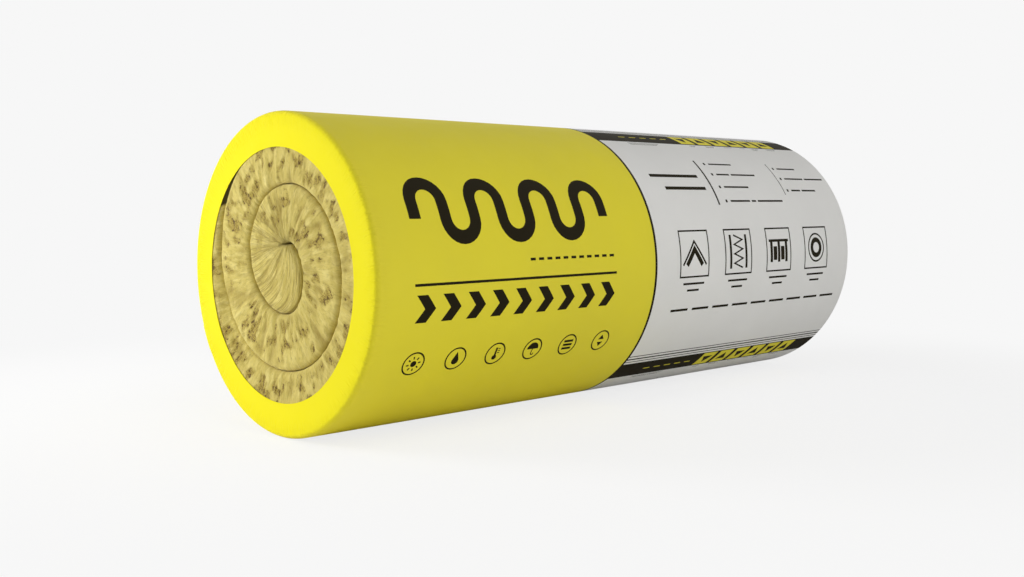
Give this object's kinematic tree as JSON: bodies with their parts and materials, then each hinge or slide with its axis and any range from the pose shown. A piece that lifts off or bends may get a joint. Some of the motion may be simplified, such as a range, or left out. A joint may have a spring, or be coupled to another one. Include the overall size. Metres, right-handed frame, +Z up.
{
  "type": "insulation roll",
  "caption": "Glass wool insulation blanket rolled up in a printed film sleeve, lying on its side, with the spiral of wool showing in the round openings of its ends.",
  "frame": {"origin": "on the floor under the middle of the roll: centre of the bounding box's base", "axes": "+X along the roll's axis, from the end whose blanket tail shows at the upper left to the other end; +Y towards the roll's back, where the film's lap is; +Z up"},
  "size_m": [1.22, 0.4879, 0.488],
  "materials": {
    "wool": "matte tan glass fibre",
    "film": "satin printed polyethylene film"
  },
  "bodies": {
    "root": {"wool_roll": "wool", "film_sleeve": "film"}
  },
  "joints": []
}
